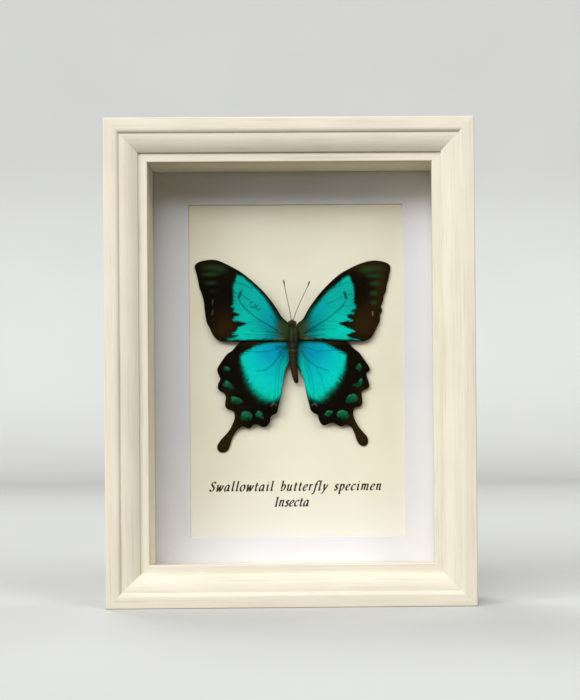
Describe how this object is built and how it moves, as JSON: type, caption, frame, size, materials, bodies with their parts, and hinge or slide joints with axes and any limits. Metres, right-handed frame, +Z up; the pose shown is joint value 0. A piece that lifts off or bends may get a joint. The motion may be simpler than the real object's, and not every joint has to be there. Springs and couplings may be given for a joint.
{
  "type": "framed butterfly specimen",
  "caption": "Spread swallowtail butterfly pinned over a cream card in a deep cream wooden box frame with a glass front, standing upright.",
  "frame": {"origin": "middle of the flat underside of the bottom rail, at half the frame's depth", "axes": "+Z up the frame's long side, -Y out of the glazed front, +X to the right as seen from the front"},
  "size_m": [0.162, 0.0406, 0.214],
  "materials": {
    "cream_wood": "cream paint rubbed thin over straight-grained wood, satin",
    "clear_glass": "clear float glass",
    "liner": "matte card strips",
    "white_mat": "matte off-white mat board",
    "cream_card": "matte cream card",
    "hardboard": "brown hardboard",
    "steel": "bright steel",
    "chitin": "dark dry insect body with short fur",
    "wing_scales": "dry wing scales, blue-green field in black-brown borders"
  },
  "bodies": {
    "root": {"rail_top": "cream_wood", "rail_bottom": "cream_wood", "rail_left": "cream_wood", "rail_right": "cream_wood", "glass_pane": "clear_glass", "liner_top": "liner", "liner_bottom": "liner", "liner_left": "liner", "liner_right": "liner", "window_mat": "white_mat", "mount_card": "cream_card", "back_panel": "hardboard", "steel_point_top": "steel", "steel_point_bottom": "steel", "steel_point_left_upper": "steel", "steel_point_left_lower": "steel", "steel_point_right_upper": "steel", "steel_point_right_lower": "steel", "sawtooth_hanger": "steel", "hanger_nail_left": "steel", "hanger_nail_right": "steel", "insect_pin": "steel", "butterfly_body": "chitin", "antenna_left": "chitin", "antenna_right": "chitin", "forewing_left": "wing_scales", "forewing_right": "wing_scales", "hindwing_left": "wing_scales", "hindwing_right": "wing_scales"}
  },
  "joints": []
}
